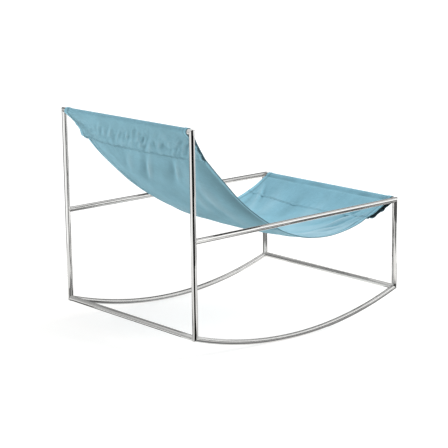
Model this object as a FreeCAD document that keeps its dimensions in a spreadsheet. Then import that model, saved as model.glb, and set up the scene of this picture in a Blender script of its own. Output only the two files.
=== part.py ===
# Low sling rocking chair. Two welded side frames of round steel tube stand on curved rockers,
# four cross bars join them, and a cloth seat hangs from the two upper bars.
# +X is the sitter's left, the chair faces -Y and +Z is up. The frame is drawn square, with the
# bottom corners' centre lines at height 0, then leaned back to its balance and set on the floor.
import FreeCAD, Part
import math
import os

Vector = FreeCAD.Vector

# Driving sizes: millimetres, degrees where the name says so, and a count of folds
SIZES = {
    "frame_width": 658,
    "frame_depth": 898,
    "upright_height": 645,
    "arm_height": 307,
    "tube_diameter": 18,
    "tube_wall": 1.5,
    "rocker_drop": 75,
    "rocker_stub": 20,
    "rest_lean_degrees": 2,
    "cloth_thickness": 1.2,
    "cloth_clearance": 0.3,
    "sling_side_gap": 10,
    "sling_slack": 110,
    "sling_sag": 19,
    "sag_run": 300,
    "rear_sleeve_depth": 118,
    "rear_sleeve_gap": 6.5,
    "front_sleeve_depth": 117,
    "front_sleeve_gap": 14,
    "seam_tail": 11,
    "hem_width": 18,
    "fold_depth": 3,
    "fold_count": 3,
}

doc = FreeCAD.newDocument("sling_rocking_chair")
sheet = doc.addObject("Spreadsheet::Sheet", "Sizes")
for row, (alias, value) in enumerate(SIZES.items(), start=1):
    sheet.set(f"A{row}", alias)
    sheet.set(f"B{row}", str(value))
    sheet.setAlias(f"B{row}", alias)
doc.recompute()

# Sizes that follow from the sheet, as expressions for the document's objects
HALF_WIDTH = "(Sizes.frame_width / 2)"
HALF_DEPTH = "(Sizes.frame_depth / 2)"
HEIGHT = "Sizes.upright_height"
ARM_HEIGHT = "Sizes.arm_height"
DIAMETER = "Sizes.tube_diameter"
TUBE_RADIUS = "(Sizes.tube_diameter / 2)"
BORE_RADIUS = "(Sizes.tube_diameter / 2 - Sizes.tube_wall)"
LEAN = "(Sizes.rest_lean_degrees * 1 deg)"
# A rocker is one arc with a short straight stub at each end, so its end slope follows from the
# drop, and its radius from that slope.
ROCKER_SLOPE = f"(2 * atan(Sizes.rocker_drop / ({HALF_DEPTH} + Sizes.rocker_stub)))"
ROCKER_RADIUS = f"(({HALF_DEPTH} - Sizes.rocker_stub * cos({ROCKER_SLOPE})) / sin({ROCKER_SLOPE}))"
ROCKER_CENTRE = f"({ROCKER_RADIUS} - Sizes.rocker_drop)"

# Directions that a bar's own length axis is turned about
PLUS_X, MINUS_X = Vector(1, 0, 0), Vector(-1, 0, 0)
PLUS_Y, MINUS_Y = Vector(0, 1, 0), Vector(0, -1, 0)
SQUARE = "90 deg"


def bind(item, **expressions):
    """Ties an object's properties to the sheet; an underscore pair stands for a dot."""
    for name, expression in expressions.items():
        item.setExpression(name.replace("__", "."), expression)
    return item


def place(item, base, axis=None, turn=None):
    """Puts an object at a point and turns it about an axis, both by expressions."""
    if axis is not None:
        item.Placement = FreeCAD.Placement(Vector(), FreeCAD.Rotation(axis, 1))
        bind(item, Placement__Rotation__Angle=turn)
    x, y, z = base
    return bind(item, Placement__Base__x=x, Placement__Base__y=y, Placement__Base__z=z)


def bar(name, radius, length, base, axis=None, turn=None):
    """A solid round bar from a point, along +Z until it is turned."""
    item = doc.addObject("Part::Cylinder", name)
    bind(item, Radius=radius, Height=length)
    return place(item, base, axis, turn)


def trim(name, item, tools):
    """Cuts each tool in turn from an object and returns the last cut."""
    for count, tool in enumerate(tools, start=1):
        cut = doc.addObject("Part::Cut", f"{name}_trim_{count}")
        cut.Base, cut.Tool = item, tool
        item = cut
    return item


def mitre(name, corner, axis, turn):
    """The waste past a mitre: a disc whose flat end lies on the mitre plane at a corner."""
    return bar(name, f"2 * {DIAMETER}", f"3 * {DIAMETER}", corner, axis, turn)


def mirrored(name, source):
    """The same thing on the other side of the chair."""
    item = doc.addObject("Part::Mirroring", name)
    item.Source = source
    item.Base, item.Normal = Vector(0, 0, 0), PLUS_X
    return item


def tube(label, rod, bore):
    """A finished tube: the trimmed outer rod less its bore."""
    item = doc.addObject("Part::Cut", label)
    item.Base, item.Tool = rod, bore
    item.Label = label
    return item


# Corners of the right side frame, on the tubes' centre lines
RIGHT, LEFT = f"-{HALF_WIDTH}", HALF_WIDTH
REAR, FRONT = HALF_DEPTH, f"-{HALF_DEPTH}"
REAR_BOTTOM = (RIGHT, REAR, "0")
FRONT_BOTTOM = (RIGHT, FRONT, "0")
REAR_TOP = (RIGHT, REAR, HEIGHT)
FRONT_TOP = (RIGHT, FRONT, ARM_HEIGHT)

# Mitre planes halve the angle between two tubes, and each tube loses what lies past its plane.
STEEP = f"(135 deg + {ROCKER_SLOPE} / 2)"
SHALLOW = f"(45 deg - {ROCKER_SLOPE} / 2)"
UPRIGHT_FOOT = mitre("upright_foot_waste", REAR_BOTTOM, PLUS_X, STEEP)
ROCKER_REAR = mitre("rocker_rear_waste", REAR_BOTTOM, MINUS_X, SHALLOW)
POST_FOOT = mitre("post_foot_waste", FRONT_BOTTOM, MINUS_X, STEEP)
ROCKER_FRONT = mitre("rocker_front_waste", FRONT_BOTTOM, PLUS_X, SHALLOW)
POST_HEAD = mitre("post_head_waste", FRONT_TOP, MINUS_X, "45 deg")
ARM_FRONT = mitre("arm_front_waste", FRONT_TOP, PLUS_X, "135 deg")
UPRIGHT_HEAD = mitre("upright_head_waste", REAR_TOP, PLUS_Y, "45 deg")
BAR_RIGHT = mitre("sling_bar_right_waste", REAR_TOP, MINUS_Y, "135 deg")
BAR_LEFT = mirrored("sling_bar_left_waste", BAR_RIGHT)


def upright(name, radius, y, height):
    """A vertical bar, one diameter longer than its centre line at both ends."""
    base = (RIGHT, y, f"-{DIAMETER}")
    return bar(name, radius, f"{height} + 2 * {DIAMETER}", base)


def arm(name, radius):
    """A level bar from one diameter in front of the front post to the rear upright."""
    base = (RIGHT, f"{FRONT} - {DIAMETER}", ARM_HEIGHT)
    return bar(name, radius, f"Sizes.frame_depth + {DIAMETER}", base, MINUS_X, SQUARE)


def rocker(name, radius):
    """A bent bar: an arc about the rocker's centre and a straight stub past each of its ends."""
    ring = doc.addObject("Part::Circle", f"{name}_section")
    bind(ring, Radius=radius)
    place(ring, (RIGHT, "0", "-Sizes.rocker_drop"), PLUS_X, SQUARE)
    arc = doc.addObject("Part::Revolution", f"{name}_arc")
    arc.Source = ring
    arc.Axis, arc.Symmetric, arc.Solid = PLUS_X, True, True
    bind(arc, Angle=f"2 * {ROCKER_SLOPE}", Base__z=ROCKER_CENTRE)
    length = f"Sizes.rocker_stub + {DIAMETER}"
    out, up = f"{DIAMETER} * cos({ROCKER_SLOPE})", f"{DIAMETER} * sin({ROCKER_SLOPE})"
    turn = f"90 deg + {ROCKER_SLOPE}"
    rear = bar(f"{name}_rear_stub", radius, length, (RIGHT, f"{REAR} + {out}", up), PLUS_X, turn)
    front = bar(f"{name}_front_stub", radius, length, (RIGHT, f"{FRONT} - {out}", up), MINUS_X, turn)
    whole = doc.addObject("Part::MultiFuse", f"{name}_whole")
    whole.Shapes = [rear, arc, front]
    return whole


def cross_bar(name, radius, y, z, reach):
    """A bar across the chair, as far past both side frames' centre lines as reach says."""
    base = (f"{RIGHT} - {reach}", y, z)
    return bar(name, radius, f"Sizes.frame_width + 2 * {reach}", base, PLUS_Y, SQUARE)


# Outer rods, trimmed to each other: these are also what the cross bars are coped to.
UPRIGHT_ROD = trim(
    "upright",
    upright("upright_rod", TUBE_RADIUS, REAR, HEIGHT),
    [UPRIGHT_FOOT, UPRIGHT_HEAD],
)
POST_ROD = trim(
    "post",
    upright("post_rod", TUBE_RADIUS, FRONT, ARM_HEIGHT),
    [POST_FOOT, POST_HEAD],
)
ROCKER_ROD = trim("rocker", rocker("rocker_rod", TUBE_RADIUS), [ROCKER_REAR, ROCKER_FRONT])
ARM_ROD = trim("arm", arm("arm_rod", TUBE_RADIUS), [ARM_FRONT, UPRIGHT_ROD])

# The right side frame's four tubes, and the left one's as their mirror images
SIDE_TUBES = {
    "rear_upright": tube(
        "rear_upright_right", UPRIGHT_ROD, upright("upright_bore", BORE_RADIUS, REAR, HEIGHT)
    ),
    "front_post": tube(
        "front_post_right", POST_ROD, upright("post_bore", BORE_RADIUS, FRONT, ARM_HEIGHT)
    ),
    "rocker": tube("rocker_right", ROCKER_ROD, rocker("rocker_bore", BORE_RADIUS)),
    "arm_rail": tube("arm_rail_right", ARM_ROD, arm("arm_bore", BORE_RADIUS)),
}
LEFT_TUBES = [mirrored(f"{name}_left", item) for name, item in SIDE_TUBES.items()]

# Cross bars: the rear sling bar is mitred onto the uprights, and the other three are coped into
# the corners, where two tubes of each side frame meet.
CORNERS = {
    "rear_bottom_bar": (REAR, "0", [UPRIGHT_ROD, ROCKER_ROD]),
    "front_bottom_bar": (FRONT, "0", [POST_ROD, ROCKER_ROD]),
    "front_sling_bar": (FRONT, ARM_HEIGHT, [POST_ROD, ARM_ROD]),
}
CROSS_BARS = []
for name, (y, z, corner_rods) in CORNERS.items():
    tools = list(corner_rods)
    for count, rod in enumerate(corner_rods, start=1):
        tools.append(mirrored(f"{name}_far_rod_{count}", rod))
    coped = trim(name, cross_bar(f"{name}_rod", TUBE_RADIUS, y, z, "0"), tools)
    CROSS_BARS.append(tube(name, coped, cross_bar(f"{name}_bore", BORE_RADIUS, y, z, "0")))
mitred = trim(
    "rear_sling_bar",
    cross_bar("rear_sling_bar_rod", TUBE_RADIUS, REAR, HEIGHT, DIAMETER),
    [BAR_RIGHT, BAR_LEFT],
)
rear_bore = cross_bar("rear_sling_bar_bore", BORE_RADIUS, REAR, HEIGHT, DIAMETER)
CROSS_BARS.append(tube("rear_sling_bar", mitred, rear_bore))

# The cloth. It is one length of canvas, drawn through its middle layer. Between the bars it hangs
# as a catenary, at each bar it goes round and back under itself as a sleeve, and along both sides
# it has a turned hem.
size = {alias: float(sheet.get(alias)) for alias in SIZES}
tube_radius = size["tube_diameter"] / 2
cloth = size["cloth_thickness"]
clearance = size["cloth_clearance"]
wrap_radius = tube_radius + clearance + cloth / 2
rear_bar = Vector(0, size["frame_depth"] / 2, size["upright_height"])
front_bar = Vector(0, -size["frame_depth"] / 2, size["arm_height"])
sling_length = (rear_bar - front_bar).Length + size["sling_slack"]
sling_edge = size["frame_width"] / 2 - tube_radius - size["sling_side_gap"]


class Catenary:
    """A hanging line of a given length from a rear point to a lower front point."""

    def __init__(self, rear, front, length):
        span, fall = rear.y - front.y, rear.z - front.z
        ratio = math.sqrt(length**2 - fall**2) / span
        low, high = 1e-6, 10.0
        while high - low > 1e-12:
            middle = (low + high) / 2
            if math.sinh(middle) / middle < ratio:
                low = middle
            else:
                high = middle
        self.scale = span / (2 * low)
        to_lowest = span / 2 + self.scale * math.atanh(fall / length)
        self.rear_arc = self.scale * math.sinh(to_lowest / self.scale)
        self.lowest_y = rear.y - to_lowest
        self.base_z = rear.z - math.hypot(self.scale, self.rear_arc)
        self.length = length

    def point(self, run):
        """The point at a length of line from the rear end."""
        arc = self.rear_arc - run
        y = self.lowest_y + self.scale * math.asinh(arc / self.scale)
        return Vector(0, y, self.base_z + math.hypot(self.scale, arc))

    def forward(self, run):
        """The unit direction of travel towards the front."""
        arc = self.rear_arc - run
        return Vector(0, -self.scale, -arc).normalize()

    def upward(self, run):
        """The unit normal on the sitter's side."""
        ahead = self.forward(run)
        return Vector(0, ahead.z, -ahead.y)


def hung_between(rear_centre, front_centre, radius, length):
    """The catenary that leaves both bars' wrapping circles at a tangent."""
    line = Catenary(rear_centre, front_centre, length)
    for _ in range(30):
        rear = rear_centre + line.upward(0) * radius
        front = front_centre + line.upward(length) * radius
        line = Catenary(rear, front, length)
    return line


hang = hung_between(rear_bar, front_bar, wrap_radius, sling_length)
inner_edge = sling_edge - size["hem_width"]
fold_arcs = 2 * int(size["fold_count"])
# The doubled part of each sleeve lies flat on the panel over its tail, where the panel begins.
rear_tail = size["rear_sleeve_depth"] + size["seam_tail"]
front_tail = sling_length - size["front_sleeve_depth"] - size["seam_tail"]
# Places across the cloth that all its sections share: its edges, the hems and the folds' ends
FOLD_ENDS = [inner_edge * (2 * count / fold_arcs - 1) for count in range(fold_arcs + 1)]
ACROSS = [-sling_edge] + FOLD_ENDS + [sling_edge]


def sag_at(run, x):
    """How far the cloth hangs below its hems; the sag builds up from both bars."""
    reach = min(run, sling_length - run, size["sag_run"])
    build = 1 - (1 - reach / size["sag_run"]) ** 2
    return size["sling_sag"] * build * (1 - min(1, abs(x) / inner_edge) ** 3)


def on_cloth(run, x, depth):
    """The point at a run and a place across the cloth, at a depth below its middle layer."""
    return hang.point(run) + Vector(x, 0, 0) - hang.upward(run) * (sag_at(run, x) + depth)


def arc_between(start, direction, end):
    """The arc that leaves a point in a direction and reaches another point."""
    chord = end - start
    across = (direction - chord * (direction.dot(chord) / chord.dot(chord))).normalize()
    half_turn = direction.getAngle(chord) / 2
    middle = start + chord / 2 + across * (chord.Length / 2 * math.tan(half_turn))
    return Part.Arc(start, middle, end).toShape()


def closed_strip(upper, lower):
    """A closed section from two lines of edges that run the same way."""
    start = Part.makeLine(lower[0].Vertexes[0].Point, upper[0].Vertexes[0].Point)
    end = Part.makeLine(upper[-1].Vertexes[-1].Point, lower[-1].Vertexes[-1].Point)
    return Part.Wire(upper + [end] + lower[::-1] + [start])


def sleeve_section(x, bar_centre, bar_run, way, depth, gap):
    """A sleeve's section at a place across the cloth: from the panel over the bar, round it, back
    as a taut flap with a gap to the panel, and closed onto it. Way is the run's sign off the bar."""
    centre = bar_centre + Vector(x, 0, 0)
    up, along = hang.upward(bar_run), hang.forward(bar_run) * way
    tail = depth + size["seam_tail"]
    doubled = cloth + clearance
    mouth_run = bar_run + way * (depth - gap)

    def below(from_bar, fall):
        return on_cloth(bar_run + way * from_bar, x, fall)

    def face(side):
        """One face of the cloth, on its outer side (+1) or the side that the bar is on (-1)."""
        shift = side * cloth / 2
        radius = wrap_radius + shift

        def round_bar(turn):
            return centre + (along * math.cos(turn) - up * math.sin(turn)) * radius

        mouth = on_cloth(mouth_run, x, gap + shift)
        corner = below(depth + shift, doubled + shift)
        reach = on_cloth(mouth_run, sling_edge, gap + shift) - bar_centre - PLUS_X * sling_edge
        leaving = math.atan2(-reach.dot(up), reach.dot(along)) + math.acos(radius / reach.Length)
        top, tip, leave = round_bar(1.5 * math.pi), round_bar(math.pi), round_bar(leaving)
        return [
            Part.Arc(below(tail, -shift), below(tail / 2, -shift), top).toShape(),
            Part.Arc(top, round_bar(1.25 * math.pi), tip).toShape(),
            Part.Arc(tip, round_bar((math.pi + leaving) / 2), leave).toShape(),
            Part.makeLine(leave, mouth),
            arc_between(mouth, (mouth - leave).normalize(), corner),
            Part.makeLine(corner, below(tail, doubled + shift)),
        ]

    return closed_strip(face(1), face(-1))


def sleeve(*bar):
    """A sleeve's solid, straight between the places that it shares with the panel."""
    return Part.makeLoft([sleeve_section(x, *bar) for x in ACROSS], True, True).removeSplitter()


STATIONS = 10


def fold_at(share):
    """Folds are deepest a quarter of the way down the back and fade out into the seat."""
    return size["fold_depth"] * math.sin(math.pi * min(1.0, share / 0.5)) ** 2


def section(share, depth):
    """A line across the panel, hem to hem, at a depth below its middle layer: edges in order.
    It is straight from place to place where it meets a sleeve, and rounded between the two."""
    run = rear_tail + share * (front_tail - rear_tail)
    points = [on_cloth(run, x, depth) for x in ACROSS]
    edges = [Part.makeLine(points[0], points[1])]
    for count, (left, right) in enumerate(zip(FOLD_ENDS, FOLD_ENDS[1:])):
        start, end = points[count + 1], points[count + 2]
        chord = (start + end) / 2
        swell = (on_cloth(run, (left + right) / 2, depth) - chord) * math.sin(math.pi * share)
        wave = hang.upward(run) * (fold_at(share) * (-1) ** count)
        if (swell - wave).Length < 1e-3:
            edges.append(Part.makeLine(start, end))
        else:
            edges.append(Part.Arc(start, chord + swell - wave, end).toShape())
    edges.append(Part.makeLine(points[-2], points[-1]))
    return edges


def panel():
    """The seat's single layer between its two sleeve seams."""
    wires = []
    for station in range(STATIONS + 1):
        share = station / STATIONS
        wires.append(closed_strip(section(share, -cloth / 2), section(share, cloth / 2)))
    return Part.makeLoft(wires, True, True)


def hem(side):
    """The turned edge under one side of the panel."""
    top = cloth / 2 + clearance
    wires = []
    for station in range(STATIONS + 1):
        share = station / STATIONS
        upper = [section(share, top)[side]]
        lower = [section(share, top + cloth)[side]]
        wires.append(closed_strip(upper, lower))
    return Part.makeLoft(wires, True, True)


CLOTH = {
    "sling_panel": panel(),
    "sling_rear_sleeve": sleeve(rear_bar, 0, 1, size["rear_sleeve_depth"], size["rear_sleeve_gap"]),
    "sling_front_sleeve": sleeve(
        front_bar, sling_length, -1, size["front_sleeve_depth"], size["front_sleeve_gap"]
    ),
    "sling_hem_right": hem(0),
    "sling_hem_left": hem(-1),
}
CLOTH_NODES = []
for label, shape in CLOTH.items():
    item = doc.addObject("Part::Feature", label)
    item.Shape = shape
    item.Label = label
    CLOTH_NODES.append(item)

# The chair as it stands: leaned back about the middle of its bottom corners, then lowered until
# its rockers touch the floor, with the overall box centred over the origin.
SLEEVE_RADIUS = f"({TUBE_RADIUS} + Sizes.cloth_clearance + Sizes.cloth_thickness)"
BACK = f"-({HEIGHT} * sin({LEAN}) + {SLEEVE_RADIUS} - {TUBE_RADIUS}) / 2"
LIFT = f"{ROCKER_RADIUS} + {TUBE_RADIUS} - {ROCKER_CENTRE} * cos({LEAN})"
STANDING = list(SIDE_TUBES.values()) + CROSS_BARS + CLOTH_NODES
for item in STANDING:
    place(item, ("0", BACK, LIFT), MINUS_X, LEAN)
doc.recompute()

NODES = STANDING + LEFT_TUBES
for item in doc.Objects:
    if "Invalid" in item.State or "Error" in item.State:
        raise RuntimeError(f"{item.Name} failed: {item.State}")
for item in NODES:
    if item.Shape.isNull() or not item.Shape.isValid() or len(item.Shape.Solids) != 1:
        raise RuntimeError(f"{item.Label} is not one valid solid")

os.makedirs("parts", exist_ok=True)
for item in NODES:
    item.Shape.exportStep(f"parts/{item.Label}.step")
    box = item.Shape.BoundBox
    print(f"{item.Label}: {item.Shape.Volume:.1f} mm3, z {box.ZMin:.2f} to {box.ZMax:.2f}")
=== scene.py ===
"""Looks of an outdoor rocking chair: polished steel tube and a hung canvas sling."""

import math

import bpy
from mathutils import Matrix, Vector, noise


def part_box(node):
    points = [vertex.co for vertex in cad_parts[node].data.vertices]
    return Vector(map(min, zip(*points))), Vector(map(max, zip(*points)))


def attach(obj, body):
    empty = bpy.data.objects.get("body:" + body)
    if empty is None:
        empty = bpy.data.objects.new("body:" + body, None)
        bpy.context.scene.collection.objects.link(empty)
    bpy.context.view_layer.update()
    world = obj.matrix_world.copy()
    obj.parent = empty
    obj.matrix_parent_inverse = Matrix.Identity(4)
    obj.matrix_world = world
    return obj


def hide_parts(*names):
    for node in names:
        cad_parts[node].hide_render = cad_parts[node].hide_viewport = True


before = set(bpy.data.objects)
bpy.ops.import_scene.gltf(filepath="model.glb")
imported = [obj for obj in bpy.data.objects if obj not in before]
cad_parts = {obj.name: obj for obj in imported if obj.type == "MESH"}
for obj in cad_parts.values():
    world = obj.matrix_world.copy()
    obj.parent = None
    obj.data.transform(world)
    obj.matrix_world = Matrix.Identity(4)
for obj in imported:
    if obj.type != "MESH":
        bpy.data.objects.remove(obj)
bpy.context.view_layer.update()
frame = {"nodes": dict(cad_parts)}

bl_info = {
    "name": "Outdoor Rocking Chair",
    "version": (1, 0, 0),
    "blender": (4, 5, 0),
    "location": "3D View > Sidebar > Rocking Chair",
    "description": "Tube frame, welds, canvas sling and stitching of a rocking chair",
    "category": "Object",
}

MM = 0.001
ACROSS = Vector((1.0, 0.0, 0.0))


def box_middle(node):
    """Middle of a CAD node's box."""
    low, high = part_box(node)
    return (Vector(low) + Vector(high)) / 2


def in_side_plane(point):
    """The point moved across the chair into its middle plane."""
    return Vector((0.0, point.y, point.z))


REAR_TOP = in_side_plane(box_middle("rear_sling_bar"))
FRONT_TOP = in_side_plane(box_middle("front_sling_bar"))
REAR_FOOT = in_side_plane(box_middle("rear_bottom_bar"))
FRONT_FOOT = in_side_plane(box_middle("front_bottom_bar"))
HALF_WIDTH = abs(box_middle("rear_upright_left").x)
TUBE_RADIUS = round(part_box("rear_upright_left")[1][0] - HALF_WIDTH, 4)

# The frame's own level and upright, which lean back a little from the floor's.
BACKWARD = (REAR_FOOT - FRONT_FOOT).normalized()
UPWARD = ACROSS.cross(BACKWARD)
DEPTH = (REAR_FOOT - FRONT_FOOT).length


def clamp(value):
    """The value kept between 0 and 1."""
    return max(0.0, min(1.0, value))


def ramp(value, start, end):
    """Smooth step from 0 at the start to 1 at the end."""
    t = clamp((value - start) / (end - start))
    return t * t * (3 - 2 * t)


def bell(value, middle, spread):
    """1 at the middle, falling off smoothly to both sides."""
    return math.exp(-((value - middle) / spread) ** 2)


# Settings


def length_setting(name, description, default):
    """Property for a length in metres."""
    return bpy.props.FloatProperty(
        name=name, description=description, default=default, subtype="DISTANCE", unit="LENGTH")


def colour_setting(name, description, default):
    """Property for a linear colour."""
    return bpy.props.FloatVectorProperty(
        name=name, description=description, default=default, subtype="COLOR", min=0.0, max=1.0)


class ROCKER_PG_frame(bpy.types.PropertyGroup):
    """Sizes and finish of the welded tube frame"""

    tube_radius: length_setting("Tube Radius", "Outer radius of every tube", TUBE_RADIUS)
    tube_sides: bpy.props.IntProperty(
        name="Tube Sides", description="Faces round a tube", default=64, min=12)
    rocker_drop: length_setting(
        "Rocker Drop", "Depth of a rocker's arc under its two ends", 75 * MM)
    rocker_stub: length_setting("Rocker Stub", "Straight run at each end of a rocker", 20 * MM)
    fillet_bead: length_setting(
        "Fillet Bead", "Radius of the weld bead where a bar meets a corner", 1.1 * MM)
    mitre_bead: length_setting(
        "Mitre Bead", "Radius of the ground weld bead on a mitred corner", 0.3 * MM)
    steel_colour: colour_setting(
        "Steel Colour", "Reflection colour of the polished tube", (0.62, 0.62, 0.61))
    weld_colour: colour_setting(
        "Weld Colour", "Reflection colour of the weld beads", (0.5, 0.495, 0.485))


class ROCKER_PG_sling(bpy.types.PropertyGroup):
    """Sizes and colours of the canvas sling"""

    width: length_setting("Width", "Finished width between the hemmed edges", 620 * MM)
    slack: length_setting(
        "Slack", "Hanging length over the straight distance between the bars", 110 * MM)
    thickness: length_setting("Thickness", "Thickness of one layer of canvas", 1.2 * MM)
    sag: length_setting("Sag", "How far the middle of the width hangs below the hems", 19 * MM)
    sag_run: length_setting(
        "Sag Run", "Distance from a bar over which the sag builds up", 300 * MM)
    left_lift: length_setting(
        "Left Edge Lift", "How much higher the left edge hangs down the back", 12.5 * MM)
    hem_width: length_setting("Hem Width", "Width of the turned side hems", 18 * MM)
    rear_depth: length_setting(
        "Rear Sleeve Depth", "Distance from the rear bar to its sleeve's seam", 118 * MM)
    front_depth: length_setting(
        "Front Sleeve Depth", "Distance from the front bar to its sleeve's seam", 117 * MM)
    rear_gap: length_setting(
        "Rear Sleeve Gap", "Space left in the rear sleeve beside its seam", 6.5 * MM)
    front_gap: length_setting(
        "Front Sleeve Gap", "Space left in the front sleeve beside its seam", 14 * MM)
    seam_tail: length_setting(
        "Seam Tail", "Width of the flap sewn flat against the panel", 11 * MM)
    stitch_pitch: length_setting("Stitch Pitch", "Distance from one stitch to the next", 4.2 * MM)
    stitch_length: length_setting("Stitch Length", "Visible length of one stitch", 3.2 * MM)
    thread_radius: length_setting("Thread Radius", "Radius of the sewing thread", 0.4 * MM)
    canvas_colour: colour_setting(
        "Canvas Colour", "Main colour of the canvas", (0.235, 0.455, 0.555))
    thread_colour: colour_setting(
        "Thread Colour", "Colour of the sewing thread", (0.11, 0.25, 0.33))


class ROCKER_PG_stage(bpy.types.PropertyGroup):
    """Camera, floor and light"""

    camera_place: bpy.props.FloatVectorProperty(
        name="Camera Place", description="Where the camera stands",
        default=(-3.79697, 3.36804, 1.34495), subtype="XYZ", unit="LENGTH")
    camera_aim: bpy.props.FloatVectorProperty(
        name="Camera Aim", description="Point in the middle of the picture",
        default=(0.01290, 0.02563, 0.32614), subtype="XYZ", unit="LENGTH")
    camera_roll: bpy.props.FloatProperty(
        name="Camera Roll", description="Turn of the camera about its own line of sight",
        default=math.radians(0.797), subtype="ANGLE", unit="ROTATION")
    camera_lens: bpy.props.FloatProperty(
        name="Camera Lens", description="Focal length on a 36 mm sensor, in millimetres",
        default=122.44)
    floor_colour: colour_setting("Floor Colour", "Colour of the studio floor", (0.96, 0.925, 0.89))
    floor_shade: bpy.props.FloatProperty(
        name="Floor Shade", description="Share of the floor's shading that the camera sees",
        default=0.42, subtype="FACTOR", min=0.0, max=1.0)
    dome_strength: bpy.props.FloatProperty(
        name="Dome Strength", description="Light of the white surroundings", default=0.5)
    softbox_power: bpy.props.FloatProperty(
        name="Softbox Power", description="Power of the overhead lamp in watts", default=49.0)
    side_power: bpy.props.FloatProperty(
        name="Side Lamp Power", description="Power of the lamp on the chair's left in watts",
        default=40.0)
    front_power: bpy.props.FloatProperty(
        name="Front Lamp Power", description="Power of the lamp in front of the chair in watts",
        default=50.0)


class ROCKER_PG_chair(bpy.types.PropertyGroup):
    """All settings of the rocking chair"""

    frame: bpy.props.PointerProperty(type=ROCKER_PG_frame)
    sling: bpy.props.PointerProperty(type=ROCKER_PG_sling)
    stage: bpy.props.PointerProperty(type=ROCKER_PG_stage)


# Node helpers. A value that goes into a node is a constant or a (node, output) pair.


def fill(socket, value):
    """Gives an input socket a constant or links a (node, output) pair to it."""
    if isinstance(value, tuple) and isinstance(value[0], bpy.types.Node):
        node, output = value
        socket.id_data.links.new(node.outputs[output], socket)
    else:
        socket.default_value = value


def set_inputs(node, **inputs):
    """Fills a node's inputs, which are named in lower case with underscores."""
    for word, value in inputs.items():
        fill(node.inputs[word.replace("_", " ").title().replace("Ior", "IOR")], value)


def add_node(tree, kind, **inputs):
    """New node with some of its inputs filled."""
    node = tree.nodes.new(kind)
    set_inputs(node, **inputs)
    return node


def new_material(name, **inputs):
    """Material with some inputs of its Principled shader filled; returns it, its tree and the shader."""
    material = bpy.data.materials.new(name)
    material.use_nodes = True
    shader = material.node_tree.nodes["Principled BSDF"]
    set_inputs(shader, **inputs)
    return material, material.node_tree, shader


def uv_place(tree, name):
    """Places in a UV map."""
    node = tree.nodes.new("ShaderNodeUVMap")
    node.uv_map = name
    return node, "UV"


def object_place(tree):
    """Places in the object's own space."""
    return tree.nodes.new("ShaderNodeTexCoord"), "Object"


def math_value(tree, operation, first, second):
    """Result of a Math node."""
    node = tree.nodes.new("ShaderNodeMath")
    node.operation = operation
    for socket, value in zip(node.inputs, (first, second)):
        fill(socket, value)
    return node, "Value"


def noise_value(tree, place, scale, detail, stretch=(1.0, 1.0, 1.0)):
    """Noise at a place, with the place stretched first."""
    mapping = add_node(tree, "ShaderNodeMapping", vector=place, scale=stretch)
    texture = add_node(
        tree, "ShaderNodeTexNoise", vector=(mapping, "Vector"), scale=scale, detail=detail)
    return texture, "Fac"


def ranged(tree, value, low, high, to_low, to_high):
    """A value mapped from one range to another and kept in it."""
    node = add_node(tree, "ShaderNodeMapRange", value=value, from_min=low, from_max=high,
                    to_min=to_low, to_max=to_high)
    return node, "Result"


def mixed(tree, factor, first, second):
    """Colour between two others, by a factor."""
    node = tree.nodes.new("ShaderNodeMix")
    node.data_type = "RGBA"
    set_inputs(node, factor=factor, a=first, b=second)
    return node, "Result"


def bumped(tree, height, distance, strength):
    """Normal turned by a height."""
    node = add_node(tree, "ShaderNodeBump", height=height, distance=distance, strength=strength)
    return node, "Normal"


def scaled(colour, share):
    """The colour made darker or lighter, up to white, with full alpha."""
    return (*(min(1.0, c * share) for c in colour), 1.0)


# Materials

# Metres of canvas across the unit square of its UV map
CUT_SPAN = 2.0
WHITE = (1.0, 1.0, 1.0, 1.0)
BLACK = (0.0, 0.0, 0.0, 1.0)


def polished_steel(colour):
    """Stainless tube, drawn and polished along its length."""
    material, tree, shader = new_material("polished_steel", metallic=1.0)
    drawn = noise_value(tree, uv_place(tree, "tube"), 1.0, 3.0, (5200.0, 55.0, 1.0))
    cloudy = noise_value(tree, object_place(tree), 38.0, 3.0)
    polish = math_value(tree, "ADD", drawn, cloudy)
    set_inputs(shader,
               base_color=mixed(tree, cloudy, scaled(colour, 0.94), scaled(colour, 1.05)),
               roughness=ranged(tree, polish, 0.7, 1.4, 0.02, 0.05),
               normal=bumped(tree, drawn, 0.01 * MM, 0.05))
    return material


def weld_steel(colour):
    """Weld metal: fine ripples and a duller skin than the tube's."""
    material, tree, shader = new_material("weld_steel", metallic=1.0)
    ripple = noise_value(tree, object_place(tree), 900.0, 2.0)
    set_inputs(shader,
               base_color=mixed(tree, ripple, scaled(colour, 0.8), scaled(colour, 1.2)),
               roughness=ranged(tree, ripple, 0.3, 0.7, 0.22, 0.42),
               normal=bumped(tree, ripple, 0.2 * MM, 0.5))
    return material


def line_mask(tree, coordinate, places, width):
    """1 on some lines of the canvas's UV map, falling to 0 at a distance in metres of canvas."""
    mask = 0.0
    for place in places:
        offset = math_value(tree, "SUBTRACT", coordinate, place)
        distance = math_value(tree, "ABSOLUTE", offset, 0.0)
        line = ranged(tree, distance, 0.0, width / CUT_SPAN, 1.0, 0.0)
        mask = math_value(tree, "MAXIMUM", mask, line)
    return mask


def ends_mask(tree, coordinate, low, high):
    """1 below one place and above another on a coordinate, 0 between them."""
    before = math_value(tree, "LESS_THAN", coordinate, low)
    after = math_value(tree, "GREATER_THAN", coordinate, high)
    return math_value(tree, "MAXIMUM", before, after)


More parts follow.
